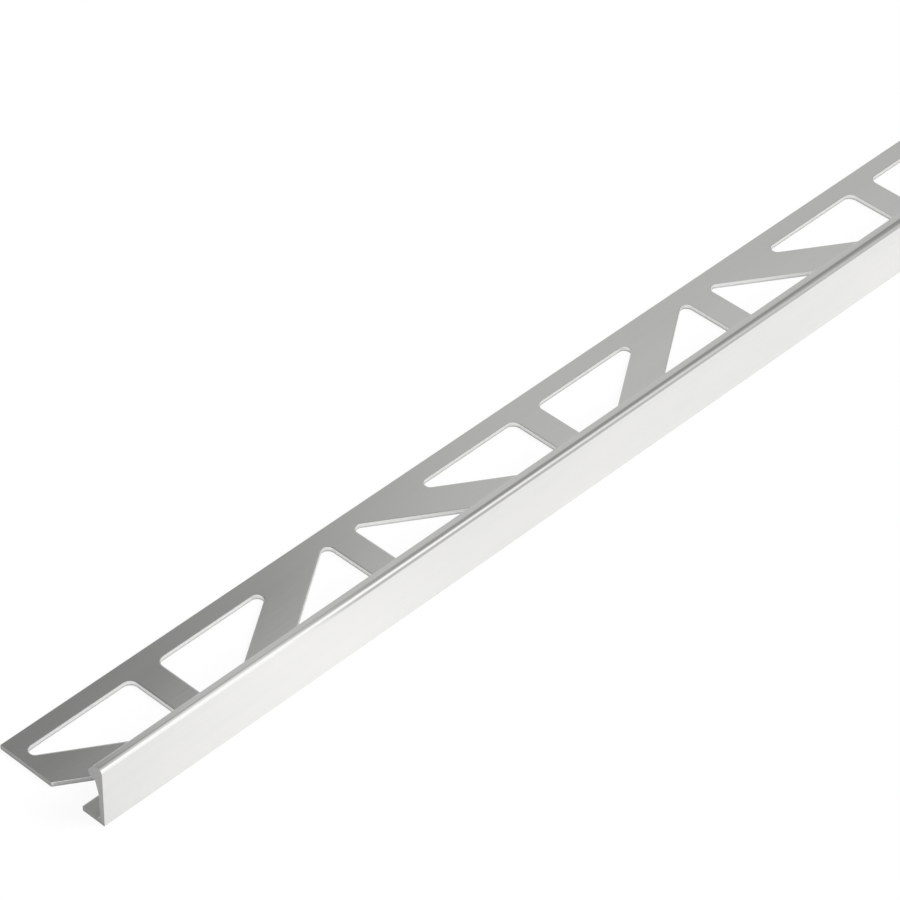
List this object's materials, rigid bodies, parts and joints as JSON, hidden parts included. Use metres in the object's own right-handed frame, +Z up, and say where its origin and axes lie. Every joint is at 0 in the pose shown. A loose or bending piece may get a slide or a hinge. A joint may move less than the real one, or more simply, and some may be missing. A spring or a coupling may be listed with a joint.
{
  "type": "tile edge trim",
  "caption": "Straight aluminium L-shaped tile edge trim with a rounded front edge, a hooked head and a leg punched with trapezoid holes.",
  "frame": {"origin": "middle of the trim's box at its underside, where the leg lies on the floor", "axes": "+X along the stock, +Y from the visible face to the leg's free edge, +Z up from the leg to the head"},
  "size_m": [1, 0.025, 0.0125],
  "materials": {
    "mill_aluminium": "mill finish"
  },
  "bodies": {
    "root": {"edge_trim_profile": "mill_aluminium"}
  },
  "joints": []
}
